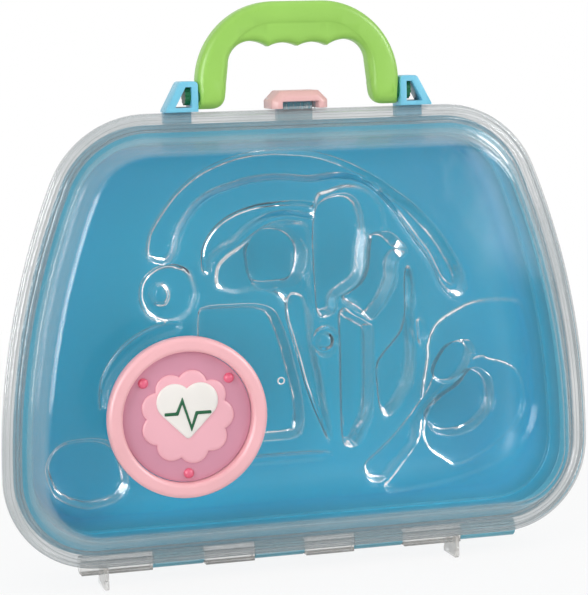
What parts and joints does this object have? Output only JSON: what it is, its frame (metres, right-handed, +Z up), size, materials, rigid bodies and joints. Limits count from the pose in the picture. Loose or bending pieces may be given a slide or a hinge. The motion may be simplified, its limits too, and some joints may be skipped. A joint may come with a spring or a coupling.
{
  "type": "toy doctor case",
  "caption": "Toy doctor case with a clear hinged cover over a blue back shell, a formed tray inside, a swinging carry handle, a lifting latch and a round badge.",
  "frame": {"origin": "middle of the base, at the height of the two fins that the case stands on", "axes": "+X to the right along the case's width, seen from the clear front; +Y towards the back; +Z up"},
  "size_m": [0.29, 0.0728, 0.272],
  "materials": {
    "clear_cover": "clear, glossy",
    "clear_tray": "clear thin sheet, glossy",
    "blue_shell": "satin",
    "pale_blue": "satin",
    "steel": "plain wire",
    "green_handle": "satin",
    "dark_green": "satin",
    "pink_latch": "satin",
    "pink_ring": "satin",
    "rose_plate": "matt",
    "pale_pink": "satin",
    "white_print": "satin",
    "green_print": "satin",
    "deep_pink": "satin"
  },
  "bodies": {
    "back_case": {"back_shell": "blue_shell", "hinge_pin": "steel", "left_bracket": "pale_blue", "right_bracket": "pale_blue", "latch_pin": "steel", "inner_tray": "clear_tray"},
    "cover": {"front_cover": "clear_cover", "left_foot": "clear_cover", "right_foot": "clear_cover", "badge_ring": "pink_ring", "badge_plate": "rose_plate", "badge_rosette": "pale_pink", "badge_heart": "white_print", "badge_pulse": "green_print", "badge_beads": "deep_pink"},
    "handle": {"handle_front": "green_handle", "handle_back": "green_handle", "left_pivot_pin": "dark_green", "right_pivot_pin": "dark_green"},
    "latch": {"latch": "pink_latch"}
  },
  "joints": [
    {"name": "cover_open", "type": "hinge", "parent": "back_case", "child": "cover", "pos_m": [0, -0.0016, 0.0115], "axis": [1, 0, 0], "range_deg": [0, 110]},
    {"name": "handle_swing", "type": "hinge", "parent": "back_case", "child": "handle", "pos_m": [0, -0.0096, 0.2298], "axis": [1, 0, 0], "range_deg": [-90, 90]},
    {"name": "latch_lift", "type": "hinge", "parent": "back_case", "child": "latch", "pos_m": [0, -0.0026, 0.226], "axis": [-1, 0, 0], "range_deg": [0, 90]}
  ]
}
